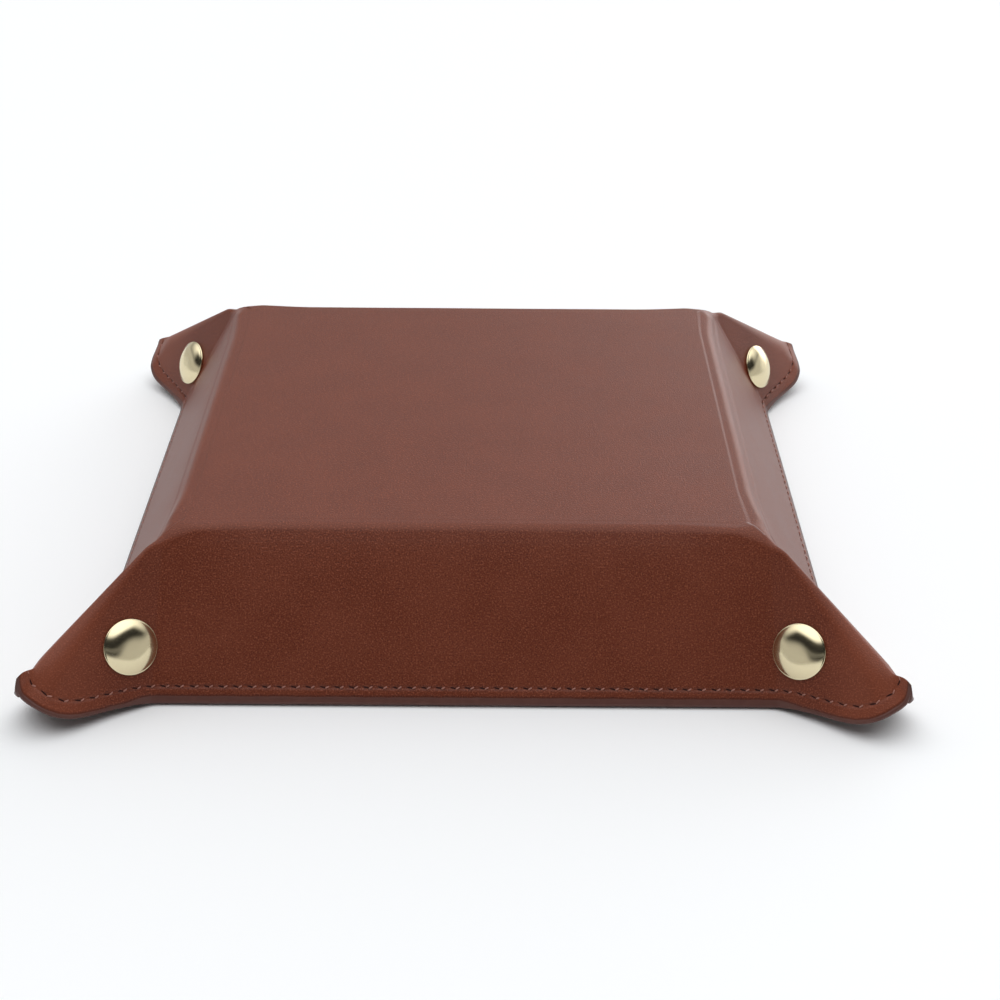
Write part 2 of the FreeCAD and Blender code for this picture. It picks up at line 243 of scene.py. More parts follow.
WALL_TURN = closing("front_wall_fold")
FLAP_TURN = closing("front_ear_right_open") @ WALL_TURN
RIDGE_TURN = closing("front_ear_right_ridge_open") @ FLAP_TURN
VALLEY = np.abs(WALL_TURN.T @ JOINTS["front_ear_right_open"]["axis"])
RIDGE = np.abs(FLAP_TURN.T @ JOINTS["front_ear_right_ridge_open"]["axis"])
VALLEY_SLOPE = VALLEY[0] / VALLEY[1]
RIDGE_SLOPE = RIDGE[0] / RIDGE[1]
PANEL_TURNS = np.stack([np.eye(3), WALL_TURN, FLAP_TURN, RIDGE_TURN])
PANEL_TURNS = np.concatenate([PANEL_TURNS, SWAP @ PANEL_TURNS @ SWAP])


def smooth(start, end, value):
    """Smooth step from 0 at start to 1 at end."""
    t = np.clip((value - start) / (end - start), 0.0, 1.0)
    return t * t * (3 - 2 * t)


def hump(value, middle, half):
    """Bell curve of height 1."""
    return np.exp(-((value - middle) / half) ** 2)


def panel_of(across, beyond):
    """Panel round a base corner: 0 base, 1 wall, 2 flap, 3 ridge strip, and 4 more past the diagonal.

    across is the distance past the front wall's side edge, beyond the distance past its crease.
    """
    past = across > beyond
    low = np.minimum(across, beyond)
    high = np.maximum(across, beyond)
    panel = np.select([high < 0, low < high * VALLEY_SLOPE, low < high * RIDGE_SLOPE], [0, 1, 2], 3)
    return panel + 4 * (past & (high >= 0))


# Angles round a base corner, in degrees past the wall's side edge, between which the rounding disc
# changes: on the wall, across the valley line and on the way to the ridge
WALL_CHANGE, FLAP_CHANGE, RIDGE_CHANGE = (-26, -12), (-2, 6), (22, 36)
CORNER_CHANGE = (9 * MM, 2 * MM)      # distances between which the corner's own disc takes over
VALLEY_DISC = (1.0 * MM, 0.3)         # at the corner, and its growth with the distance
LEAST_RIDGE_DISC = 0.5 * MM


def disc_radius(across, beyond, size):
    """Rounding disc of each flat point, from its angle and distance round the base corner."""
    reach = np.hypot(across, beyond)
    angle = np.degrees(np.arctan2(across, beyond))
    ridge = np.maximum(size.ridge_disc * reach, LEAST_RIDGE_DISC)
    valley = np.minimum(size.valley_disc, VALLEY_DISC[1] * reach + VALLEY_DISC[0])
    disc = size.crease_disc + (valley - size.crease_disc) * smooth(*WALL_CHANGE, angle)
    disc = disc + (size.flap_disc - disc) * smooth(*FLAP_CHANGE, angle)
    disc = disc + (ridge - disc) * smooth(*RIDGE_CHANGE, angle)
    disc = np.where(beyond < 0, size.crease_disc, disc)
    return disc + (size.corner_disc - disc) * smooth(*CORNER_CHANGE, reach)


# The disc's points lie on a spiral of equal areas, RING is its border, and CHUNK is how many flat
# points are worked out at a time
SAMPLES = 220
GOLDEN = math.pi * (3 - math.sqrt(5))
DISC = np.sqrt((np.arange(SAMPLES) + 0.5) / SAMPLES) * np.exp(1j * GOLDEN * np.arange(SAMPLES))
DISC = DISC - DISC.mean()
RING = np.exp(2j * math.pi * np.arange(16) / 16)
CHUNK = 5000


def averaged(across, beyond, disc):
    """Mean of the sharply folded places and normals over each point's disc, summed by panel."""
    spots = np.stack([DISC.real, DISC.imag], -1)
    points = np.stack([across, beyond], -1)[:, None] + disc[:, None, None] * spots
    panels = len(PANEL_TURNS)
    key = panel_of(points[..., 0], points[..., 1]) + panels * np.arange(len(across))[:, None]
    tally = [np.bincount(key.ravel(), weights, len(across) * panels).reshape(-1, panels) / SAMPLES
             for weights in (None, points[..., 0].ravel(), -points[..., 1].ravel())]
    place = (np.einsum("np,pi->ni", tally[1], PANEL_TURNS[:, :, 0])
             + np.einsum("np,pi->ni", tally[2], PANEL_TURNS[:, :, 1]))
    return place, np.einsum("np,pi->ni", tally[0], PANEL_TURNS[:, :, 2])


def rounded(across, beyond, size):
    """Place and outward normal of flat points beside the front wall's right corner."""
    disc = disc_radius(across, beyond, size)
    panel = panel_of(across, beyond)
    turn = PANEL_TURNS[panel]
    place = turn[:, :, 0] * across[:, None] - turn[:, :, 1] * beyond[:, None]
    normal = turn[:, :, 2].copy()
    edge = disc[:, None] * RING
    around = panel_of(across[:, None] + edge.real, beyond[:, None] + edge.imag)
    picked = np.flatnonzero((around != panel[:, None]).any(1))
    for start in range(0, len(picked), CHUNK):
        some = picked[start:start + CHUNK]
        place[some], normal[some] = averaged(across[some], beyond[some], disc[some])
    return place + BASE_CORNER, normal


def lobe(run, size):
    """How far the rim stands out past the plain rounded corner: a cosine bell along the rim."""
    near = (run - size.lobe_top) / (size.lobe_top - size.lobe_start)
    far = (run - size.lobe_top) / (size.lobe_end - size.lobe_top)
    phase = np.clip(np.where(run < size.lobe_top, near, far), -1, 1)
    return size.lobe_rise * 0.5 * (1 + np.cos(math.pi * phase))


DIAGONAL = np.array([-1.0, -1.0, 0.0]) / math.sqrt(2)
CURL_HEADING = np.array([-0.14, 0.14, 0.98])
# Pairs are distances from the rim between which a bend grows from nothing to whole
PRESS_DEPTH, CURL_DEPTH = (13 * MM, 3 * MM), (9 * MM, 1 * MM)
PRESS_WHOLE = 1.2 * MM       # this much rim at the tip is pressed together wholly
FLARE_FADE = 9 * MM          # the flare dies out over this much rim before the tip
PAINTED_REACH = 1.2          # greatest share of the flare, on the painted edge past the rim


def ear_bends(across, beyond, place, normal, size, lift):
    """Small bends of an ear, as a move of each place.

    The rim flares out with the square of its nearness, the halves are pressed towards the
    diagonal's plane at the tip, and the tip curls up in a bell curve along the rim.
    """
    inwards, run = rim_distance(across, beyond, size), rim_run(across, beyond, size)
    to_tip = size.wall_slant - size.corner_radius * (1 - math.pi / 4) - run
    rim = np.clip(1 - inwards / size.flare_zone, 0, PAINTED_REACH)
    out = size.flare * rim ** 2 * hump(run, size.flare_top, size.flare_half)
    out = out * smooth(0, FLARE_FADE, to_tip)
    press = size.pinch * smooth(*PRESS_DEPTH, inwards)
    press = press * smooth(size.pinch_reach, PRESS_WHOLE, to_tip) * (place @ DIAGONAL)
    curl = lift * smooth(*CURL_DEPTH, inwards) * hump(to_tip, 0, size.curl_half)
    unit = normal / np.linalg.norm(normal, axis=1)[:, None]
    return out[:, None] * unit - press[:, None] * DIAGONAL + curl[:, None] * CURL_HEADING


def tip_curl(size, front):
    """Curl of an ear's tip, less on the two ears behind."""
    return size.curl * (1.0 if front else size.back_curl)


SHIFT_GROWTH = (-8 * MM, -1 * MM)     # distances past the crease between which the shift grows
SHIFT_WHOLE = 26 * MM                 # the shift is whole this far from the base's corners
MITRE_HALF = 1.5 * MM                 # half width of the band in which it turns at the diagonal


def crease_shift(across, beyond, size):
    """Move of the leather inwards from the fold lines.

    It is whole at a crease, dies out down the wall as an exponential, and fades to none at the
    base's corners.
    """
    low, high = np.minimum(across, beyond), np.maximum(across, beyond)
    fade = np.exp(-np.maximum(high, 0) / size.crease_reach)
    shift = size.crease_shift * smooth(*SHIFT_GROWTH, high) * fade * smooth(0, -SHIFT_WHOLE, low)
    sideways = smooth(-MITRE_HALF, MITRE_HALF, across - beyond)
    return np.stack([-shift * sideways, shift * (1 - sideways), 0 * shift], -1)


def folded(x, y, size, lift):
    """Place and normal of any flat point, each turned to the front wall's right half and back.

    lift is how far the ears' tips curl up.
    """
    quarter = np.select([-y >= np.abs(x), x > np.abs(y), y >= np.abs(x)], [0, 1, 2], 3)
    c = np.array([1, 0, -1, 0])[quarter]
    s = np.array([0, 1, 0, -1])[quarter]
    front = c * x + s * y
    side = np.where(front < 0, -1.0, 1.0)
    across, beyond = np.abs(front) - HALF_BASE, s * x - c * y - HALF_BASE
    place, normal = rounded(across, beyond, size)
    place += ear_bends(across, beyond, place, normal, size, lift)
    place += crease_shift(across, beyond, size)
    result = []
    for field in (place, normal):
        along, out = side * field[:, 0], field[:, 1]
        result.append(np.stack([c * along - s * out, s * along + c * out, field[:, 2]], -1))
    return result


def corner_reach(x, y):
    """Distances past the nearer side edge and past the base crease, for any wall."""
    ax, ay = np.abs(x), np.abs(y)
    return np.minimum(ax, ay) - HALF_BASE, np.maximum(ax, ay) - HALF_BASE


def rim_turn(across, beyond, size):
    """Angle round the rounded corner, 0 along the straight rim."""
    flat, least = size.straight, 1e-9
    return np.arctan2(np.maximum(across - flat, 0), np.maximum(beyond - flat, 0) + least)


def rim_run(across, beyond, size):
    """Distance along the rim past the wall's side edge."""
    flat = size.straight
    return np.minimum(across, flat) + size.corner_radius * rim_turn(across, beyond, size)


def rim_distance(across, beyond, size):
    """Distance inwards from the outline."""
    flat = size.straight
    u, v = np.maximum(across - flat, 0), np.maximum(beyond - flat, 0)
    plain = np.where((u > 0) & (v > 0), size.corner_radius - np.hypot(u, v), size.wall_slant - beyond)
    return plain + lobe(rim_run(across, beyond, size), size)


def edge_distance(x, y, size):
    """Distance inwards from the outline, for any wall."""
    return rim_distance(*corner_reach(x, y), size)


def seam_run(x, y, size, seam):
    """Distance along the seam from the wall's middle, round the rounded corner too."""
    across, beyond = corner_reach(x, y)
    side = np.where(x * y * (np.abs(y) - np.abs(x)) > 0, -1.0, 1.0)
    bend = (size.corner_radius - seam.inset) * rim_turn(across, beyond, size)
    return side * (HALF_BASE + np.minimum(across, size.straight) + bend)


WAVE_COUNT = 7
WAVES = np.random.default_rng(7)
WAVE_TURNS = WAVES.uniform(0, 2 * math.pi, (WAVE_COUNT, 2))
WAVE_LENGTHS = WAVES.uniform(18, 62, WAVE_COUNT) * MM


def unevenness(x, y):
    """Mean of long low sine waves, from -1 to 1, different on every panel."""
    total = 0
    for (heading, start), wave in zip(WAVE_TURNS, WAVE_LENGTHS):
        along = x * math.cos(heading) + y * math.sin(heading)
        total = total + np.sin(along * 2 * math.pi / wave + start)
    return total / len(WAVE_LENGTHS)


def board_cover(x, y, size, ramp):
    """1 over the boards, falling to 0 over the ramp outside them."""
    across, beyond = corner_reach(x, y)
    base = smooth(ramp, 0, beyond + size.board_inset)
    upper = smooth(-ramp, 0, beyond - size.board_inset)
    lower = smooth(ramp, 0, beyond - size.wall_slant + size.hem)
    end = smooth(ramp, 0, across - beyond * VALLEY_SLOPE + size.board_end)
    return base + upper * lower * end


PULL_BETWEEN, PULL_IN_SLOTS = 0.6, 0.8    # shares of the groove's depth
LINING_PULL = 0.7                         # groove in the lining as a share of the leather's
LEATHER_RAMP = 1.1 * MM                   # the leather sinks off a board over this length
EAR_START = (-1 * MM, 2 * MM)             # past the valley line, where that sinking fades out
FRONT_SINK = 0.15                         # sinking on the front and back walls, as a share
PILLOW = 0.10 * MM                        # rise of the leather between the rim and the seam
PILLOW_BAND = (2.2 * MM, 3.4 * MM)        # distances from the rim between which it is whole
WAVE_HEIGHT = 0.05 * MM


def seam_pull(x, y, size, seam):
    """Groove along the seam, deepest in the needle slots."""
    inwards = edge_distance(x, y, size) - seam.inset
    phase = seam_run(x, y, size, seam) / seam.pitch - seam.slot_phase
    slots = 0.5 + 0.5 * np.cos(2 * math.pi * phase)
    depth = seam.groove * (PULL_BETWEEN + PULL_IN_SLOTS * slots)
    return depth * hump(inwards, 0, seam.groove_half)


def leather_depth(x, y, size, seam):
    """How far the outer face lies below the flat sheet's face."""
    across, beyond = corner_reach(x, y)
    covered = board_cover(x, y, size, LEATHER_RAMP)
    on_ear = smooth(*EAR_START, across - beyond * VALLEY_SLOPE)
    step = np.where(np.abs(x) > np.abs(y), 1.0, FRONT_SINK)
    depth = size.sink * step * (1 - covered) * (1 - on_ear)
    inwards = edge_distance(x, y, size)
    pillow = smooth(size.edge_round, PILLOW_BAND[0], inwards)
    pillow = pillow * smooth(seam.inset, PILLOW_BAND[1], inwards)
    depth = depth - PILLOW * pillow + WAVE_HEIGHT * unevenness(x, y)
    return depth + seam_pull(x, y, size, seam)


def lining_depth(x, y, size, seam):
    """Inner face of the lining, raised over the boards."""
    rise = size.board * board_cover(x, y, size, size.field_ramp)
    return size.leather + size.lining + rise - seam_pull(x, y, size, seam) * LINING_PULL


def lining_back(x, y, size, seam):
    """Hidden face of the lining."""
    return size.leather + size.board * board_cover(x, y, size, size.field_ramp)


def leather_back(x, y, size, seam):
    """Hidden face of the outer leather."""
    return np.full_like(x, size.leather)


class Patch:
    """Grid on the flat sheet, columns by rows, with the soft sheet's place, normal and slopes.

    out is each column's outward direction. The rows of the painted edge lie past the face's rows.
    """
    STEP = 0.12 * MM                                # for the slopes
    ARC = np.radians([12, 25, 38, 50, 62, 75, 90])  # rows round the painted edge
    UNDER = np.radians([90, 140])                   # rows in the groove between the layers
    LEAST_GAP = 0.04 * MM                           # ear to the diagonal's plane
    LEAST_SHARE = 0.02                              # of the thickness

    def __init__(self, x, y, out, size, rim=False, lift=0.0):
        self.size = size
        self.face_rows = x.shape[1]
        turn = np.zeros(self.face_rows)
        if rim:
            away = size.edge_round * np.concatenate([np.sin(self.ARC), [1.0]])
            away = np.append(away, size.edge_round - size.edge_groove)
            x = np.concatenate([x, x[:, -1:] + out[:, :1] * away], 1)
            y = np.concatenate([y, y[:, -1:] + out[:, 1:] * away], 1)
            turn = np.concatenate([turn, self.ARC, self.UNDER])
        self.turn = turn
        self.x, self.y, self.out = x, y, out
        self.shape = x.shape
        step = self.STEP
        xs = np.stack([x, x + step, x - step, x, x]).ravel()
        ys = np.stack([y, y, y, y + step, y - step]).ravel()
        place, normal = (field.reshape(5, -1, 3) for field in folded(xs, ys, size, lift))
        self.place, self.normal = place[0], normal[0]
        self.place_slopes, self.normal_slopes = (
            ((field[1] - field[2]) / (2 * step), (field[3] - field[4]) / (2 * step))
            for field in (place, normal))

    def squeeze(self):
        """Share of the thickness that fits between an ear's face and the corner's diagonal plane."""
        sign = np.where(self.x.ravel() < 0, -1.0, 1.0)
        gap = -(sign * self.place[:, 0] + self.place[:, 1]) / math.sqrt(2)
        lean = -(sign * self.normal[:, 0] + self.normal[:, 1]) / math.sqrt(2)
        thick = self.size.leather + self.size.lining
        fit = (gap - self.LEAST_GAP) / np.maximum(lean * thick, 1e-7)
        return np.clip(fit, self.LEAST_SHARE, 1.0)

    def tangent(self, dx, dy, depth, fall):
        """Direction on the sheet for a flat direction (dx, dy) along which the depth falls."""
        move = self.place_slopes[0] * dx + self.place_slopes[1] * dy
        move = move - depth * (self.normal_slopes[0] * dx + self.normal_slopes[1] * dy)
        return move - fall * self.normal


def made_finish(name):
    """Material made by the finishes step."""
    return bpy.data.materials["tray_" + name]


def column(values):
    """Values as one column, for products with points."""
    return np.ravel(values)[:, None]


PROBE = 0.03 * MM      # step for the slopes of a face's depth


def layer_points(patch, face, back, inside, squeezed):
    """Points and normals of one layer: its face with the painted edge, and its hidden back.

    A point lies below the soft sheet along its normal, by the depth that face or back gives, or
    on the painted edge by a quarter circle. bend is how far the mean normal falls short of 1.
    """
    size = patch.size
    x, y = patch.x, patch.y
    thick = size.leather + size.lining
    sign = -1.0 if inside else 1.0
    squeeze = patch.squeeze() if squeezed else np.ones(x.size)
    rim = patch.turn > 0
    fall = size.edge_round * (1 - np.cos(np.minimum(patch.turn, math.pi / 2)))
    if rim.any():
        fall[-2:] = [size.leather - size.edge_groove, size.leather]
    drop = thick - fall if inside else fall
    out_x, out_y = patch.out[:, :1] + 0 * x, patch.out[:, 1:] + 0 * x
    run_x, run_y = -out_y, out_x
    level = face(x, y)
    fall_out = (face(x + PROBE * out_x, y + PROBE * out_y) - level) / PROBE
    fall_run = (face(x + PROBE * run_x, y + PROBE * run_y) - level) / PROBE
    depth = np.where(rim, drop, level)
    lean, rise = np.cos(patch.turn) + 0 * x, sign * np.sin(patch.turn) + 0 * x
    rise = np.where(rim, rise, fall_out)
    fall_run = np.where(rim, 0.0, fall_run)
    depth = depth.ravel() * squeeze
    along = patch.tangent(column(run_x), column(run_y), column(depth), column(fall_run))
    outwards = patch.tangent(column(out_x * lean), column(out_y * lean), column(depth),
                             column(rise))
    normals = sign * np.cross(outwards, along)
    normals /= np.maximum(np.linalg.norm(normals, axis=1), 1e-12)[:, None]
    points = patch.place - column(depth) * patch.normal
    keep = np.zeros(patch.shape, bool)
    keep[:, :patch.face_rows] = True
    keep = keep.ravel()
    hidden = column((back(x, y).ravel() * squeeze)[keep])
    back_points = patch.place[keep] - hidden * patch.normal[keep]
    bend = 1 - np.linalg.norm(patch.normal, axis=1)
    return points, normals, bend, back_points, -sign * patch.normal[keep], keep


def layer_faces(columns, face_rows, rows, flip):
    """Quads of a closed slab: face and painted edge, back, start band and both ends."""
    top = np.arange(columns * rows).reshape(columns, rows)
    low = np.arange(columns * face_rows).reshape(columns, face_rows) + columns * rows
    loop = np.concatenate([top, low[:, ::-1]], 1)
    loop = np.concatenate([loop, loop[:, :1]], 1)
    quads = np.stack([loop[:-1, :-1], loop[:-1, 1:], loop[1:, 1:], loop[1:, :-1]], -1).reshape(-1, 4)
    ends = []
    for index, turned in ((0, False), (columns - 1, True)):
        t, b = top[index, :face_rows], low[index]
        quad = np.stack([t[:-1], b[:-1], b[1:], t[1:]], -1)
        ends.append(quad[:, ::-1] if turned else quad)
    faces = np.concatenate([quads] + ends)
    faces = (faces[:, ::-1] if flip else faces).tolist()
    if rows > face_rows:
        for index, turned in ((0, False), (columns - 1, True)):
            ring = [int(i) for i in top[index, face_rows - 1:]] + [int(low[index, -1])]
            faces.append(ring if turned != flip else ring[::-1])
    return faces


def new_mesh(name, points, faces, normals=None, attributes=None, maps=None):
    """Mesh object at the origin from whole arrays, with custom normals, attributes and UV maps."""
    mesh = bpy.data.meshes.new(name)
    mesh.from_pydata(points.tolist(), [], faces)
    mesh.polygons.foreach_set("use_smooth", np.ones(len(mesh.polygons), bool))
    corners = np.zeros(len(mesh.loops), np.int32)
    mesh.loops.foreach_get("vertex_index", corners)
    for title, values in (attributes or {}).items():
        layer = mesh.attributes.new(title, "FLOAT", "POINT")
        layer.data.foreach_set("value", values.astype(np.float32))
    for title, values in (maps or {}).items():
        layer = mesh.uv_layers.new(name=title)
        layer.data.foreach_set("uv", values[corners].astype(np.float32).ravel())
    mesh.update()
    if normals is not None:
        mesh.normals_split_custom_set_from_vertices(normals.tolist())
    piece = bpy.data.objects.new(name, mesh)
    bpy.context.scene.collection.objects.link(piece)
    return piece


def finished(piece, finish):
    """Gives a piece its finish."""
    piece.data.materials.append(made_finish(finish))
    return piece


def placed(quarter, mirrored):
    """Matrix from the front wall's right half to a wall and a side."""
    turn = np.round(rotation((0, 0, 1), quarter * math.pi / 2))
    return turn @ MIRROR if mirrored else turn


def layer_piece(name, patch, layer, quarter=0, mirrored=False, squeezed=False):
    """One layer of a patch as a closed piece at its wall and side."""
    scene = bpy.context.scene
    size, seam = scene.tray_sheet, scene.tray_seam
    inside = layer == "lining"
    move = placed(quarter, mirrored)

    def turned(x, y):
        return move[0, 0] * x + move[0, 1] * y, move[1, 0] * x + move[1, 1] * y

    def depth(function):
        return lambda x, y: function(*turned(x, y), size, seam)

    face = depth(lining_depth if inside else leather_depth)
    back = depth(lining_back if inside else leather_back)
    points, normals, bend, low, low_normals, keep = layer_points(patch, face, back, inside, squeezed)
    x, y = (np.concatenate([flat.ravel(), flat.ravel()[keep]]) for flat in (patch.x, patch.y))
    x, y = turned(x, y)
    columns, rows = patch.shape
    faces = layer_faces(columns, patch.face_rows, rows, inside != mirrored)
    points = np.concatenate([points, low]) @ move.T
    normals = np.concatenate([normals, low_normals]) @ move.T
    inwards = edge_distance(x, y, size) - seam.inset
    maps = {"flat": np.stack([x, y], -1),
            "seam": np.stack([seam_run(x, y, size, seam) / seam.pitch, inwards / seam.pitch], -1)}
    attributes = {"bend": np.concatenate([bend, bend[keep]])}
    piece = new_mesh(name, points, faces, normals, attributes, maps)
    return finished(piece, "lining" if inside else "leather")


def outline_point(run, inset, size):
    """Flat point a distance along the rim past the side edge, and its outward direction."""
    flat = size.straight
    turn = np.maximum(run - flat, 0) / size.corner_radius
    out = np.stack([np.sin(turn), -np.cos(turn)], -1)
    middle = np.stack([HALF_BASE + np.minimum(run, flat), np.full_like(run, -HALF_BASE - flat)], -1)
    return middle + out * (size.corner_radius + lobe(run, size) - inset)[:, None], out


SEAM_BAND = (1.2 * MM, -1.0 * MM)    # finest rows, past the seam inwards and outwards
BOARD_BAND = 2.2 * MM                # fine rows past a board's edge
BOARD_STEP = 0.33 * MM
CORNER_START = 0.05 * MM             # the sector's first row, off the base corner


def rim_insets(size):
    """Distances of the fine rows from the outline, from the zone's start to the edge rounding."""
    inner, outer = (bpy.context.scene.tray_seam.inset + past for past in SEAM_BAND)
    return np.concatenate([np.linspace(size.zone, inner, 5)[:-1],
                           np.linspace(inner, outer, 14)[:-1],
                           np.linspace(outer, size.edge_round, 9)])


def slant_stations(size, start):
    """Distances from the base crease, close together at the board's edge."""
    near = size.board_inset + BOARD_BAND
    count = int((near - start) / BOARD_STEP) + 1
    return np.concatenate([np.linspace(start, near, count)[:-1],
                           np.linspace(near, size.wall_slant - size.zone, 15)])


def sector_patch(runs, size, lift):
    """Corner sector: straight lines from the base corner to the fine zone, then square to the rim."""
    inner, out = outline_point(runs, size.zone, size)
    corner = np.array([HALF_BASE, -HALF_BASE])
    along = slant_stations(size, CORNER_START) / (size.wall_slant - size.zone)
    rays = corner + (inner - corner)[:, None] * along[None, :, None]
    zone = np.stack([outline_point(runs, inset, size)[0] for inset in rim_insets(size)[1:]], 1)
    grid = np.concatenate([rays, zone], 1)
    return Patch(grid[..., 0], grid[..., 1], out, size, rim=True, lift=lift)


def wall_patch(size):
    """Wall between its two valley strips."""
    half = HALF_BASE - size.valley_wide
    count = int(round(2 * half / size.fine))
    spread = np.linspace(-1, 1, count + 1)
    end = size.wall_slant - size.zone
    stations = slant_stations(size, size.crease_half)
    width = HALF_BASE - size.valley_wide * stations / end
    x = spread[:, None] * width
    y = -HALF_BASE - stations + 0 * x
    insets = rim_insets(size)[1:]
    x = np.concatenate([x, spread[:, None] * half + 0 * insets], 1)
    y = np.concatenate([y, 0 * spread[:, None] - HALF_BASE - size.wall_slant + insets], 1)
    out = np.tile([0.0, -1.0], (count + 1, 1))
    return Patch(x, y, out, size, rim=True)


def crease_patch(size, count=200, across=19):
    """Strip that bends along a base crease, mitred at the base's corners."""
    spread = np.linspace(-1, 1, count + 1)
    rows = np.linspace(-size.crease_half, size.crease_half, across)
    slope = size.valley_wide / (size.wall_slant - size.zone)
    width = HALF_BASE - np.where(rows < 0, -rows, rows * slope)
    x = spread[:, None] * width
    y = -HALF_BASE - rows + 0 * x
    return Patch(x, y, np.tile([0.0, -1.0], (count + 1, 1)), size)


def base_patch(size, band=1.4 * MM):
    """Base inside the crease strips, with close rows in a band at the board's edge."""
    end = HALF_BASE - size.crease_half
    near = HALF_BASE - size.board_inset - band
    half = np.concatenate([np.linspace(0, near, 33)[:-1], np.linspace(near, end, 11)])
    line = np.concatenate([-half[:0:-1], half])
    x = np.repeat(line[:, None], len(line), 1)
    y = -np.repeat(line[None, :], len(line), 0)
    return Patch(x, y, np.tile([0.0, -1.0], (len(line), 1)), size)


def sector_runs(start, end, size):
    """Distances along the rim, a fine step apart."""
    return np.linspace(start, end, int(round((end - start) / size.fine)) + 1)


VALLEY_HALF, RIDGE_HALF = 1.4 * MM, 1.0 * MM      # half widths of the bands that bend


def fold_line(slope, first, second, half, move):
    """Start and end of the band in which a strip bends across a fold line from the base corner.

    first and second are the turns of the panels beside the line, whose slope is in the flat sheet.
    """
    along = np.array([slope, -1.0, 0.0]) / math.hypot(slope, 1.0)
    across = np.array([-along[1], along[0], 0.0])
    start = move @ (BASE_CORNER - first @ across * half)
    end = move @ (BASE_CORNER + second @ across * half)
    return tuple(start), tuple(end)


def ear_folds(quarter, mirrored):
    """Bands in which a half ear's valley strip and ridge strip bend."""
    move = placed(quarter, mirrored)
    return (fold_line(VALLEY_SLOPE, WALL_TURN, FLAP_TURN, VALLEY_HALF, move),
            fold_line(RIDGE_SLOPE, FLAP_TURN, RIDGE_TURN, RIDGE_HALF, move))


def half_ears(quarter):
    """A wall's two half ears: whether each is on the mirrored side, and the wall it faces."""
    return (True, WALLS[quarter - 1]), (False, WALLS[(quarter + 1) % 4])


STATIONS = np.array([-1.0, -0.93, -0.75, -0.4, 0.0, 0.4, 0.75, 0.93, 1.0])
SIDES = np.arange(7) * 2 * math.pi / 7
LEAST_GIRTH = 0.02                                   # square of the thread's radius at its ends
THREAD_SUNK, THREAD_DIVE = 0.03 * MM, 0.22 * MM      # its middle, and its ends beyond that


def tube_faces(count, rings, around, flip):
    """Quads and end faces of closed tubes, each of so many rings of points."""
    index = np.arange(count * rings * around).reshape(count, rings, around)
    turned = np.roll(index, -1, 2)
    quads = np.stack([index[:, :-1], turned[:, :-1], turned[:, 1:], index[:, 1:]], -1)
    ends = np.concatenate([index[:, 0, ::-1], index[:, -1]])
    faces = quads.reshape(-1, 4).tolist() + ends.tolist()
    return [face[::-1] for face in faces] if flip else faces


def thread_bits(runs, inside, size, seam, mirrored, lift):
    """Short rounded bits of thread, each slanting a little, its ends diving into the needle slots.

    Towards the ends the radius falls with the fifth power of the way there, and the dive grows
    with the third.
    """
    girth = np.sqrt(np.maximum(1 - np.abs(STATIONS) ** 5, LEAST_GIRTH))
    run = runs[:, None] + STATIONS * seam.bit_half
    slant = -seam.bit_slant if mirrored else seam.bit_slant
    inset = seam.inset + STATIONS * slant * seam.bit_half + 0 * run
    ring = seam.thread * girth[:, None] * np.exp(1j * SIDES)
    run = run[..., None] + 0 * ring.real
    inset = inset[..., None] + ring.real
    sign = -1.0 if inside else 1.0
    face = size.leather + size.lining if inside else 0.0
    dive = THREAD_DIVE * np.abs(STATIONS) ** 3
    depth = face + sign * (THREAD_SUNK + dive[:, None] + ring.imag) + 0 * run
    reach, flat = np.abs(run), size.straight
    turn = np.maximum(reach - HALF_BASE - flat, 0) / (size.corner_radius - seam.inset)
    rim = np.minimum(reach - HALF_BASE, flat) + size.corner_radius * turn
    radius = size.corner_radius + lobe(rim, size) - inset
    x = np.sign(run) * (np.minimum(reach, HALF_BASE + flat) + np.sin(turn) * radius)
    y = -HALF_BASE - flat - np.cos(turn) * radius
    place, normal = folded(x.ravel(), y.ravel(), size, lift)
    return place - depth.ravel()[:, None] * normal


def seam_piece(name, start, end, quarter, mirrored=False, lift=0.0):
    """Both faces' thread between two distances from the wall's middle."""
    scene = bpy.context.scene
    size, seam = scene.tray_sheet, scene.tray_seam
    count = np.arange(math.ceil(start / seam.pitch - 0.5), math.floor(end / seam.pitch - 0.5) + 1)
    runs = (count + 0.5) * seam.pitch
    shape = len(runs), len(STATIONS), len(SIDES)
    points = [thread_bits(runs, inside, size, seam, mirrored, lift) for inside in (False, True)]
    faces = tube_faces(*shape, mirrored)
    faces += [[i + len(points[0]) for i in face] for face in tube_faces(*shape, not mirrored)]
    piece = new_mesh(name, np.concatenate(points) @ placed(quarter, mirrored).T, faces)
    return finished(piece, "thread")


ROLL_RADIUS = 0.36 * MM                              # of the cap's rolled rim
ROLL_TURN = (-80, 62)                                # degrees round it, from below to the dome
DOME_IN, ROLL_IN, UNDER_IN = 0.32 * MM, 0.04 * MM, 0.2 * MM    # insets of dome, roll and underside
POLE = 0.02 * MM                                     # radius of the smallest rings


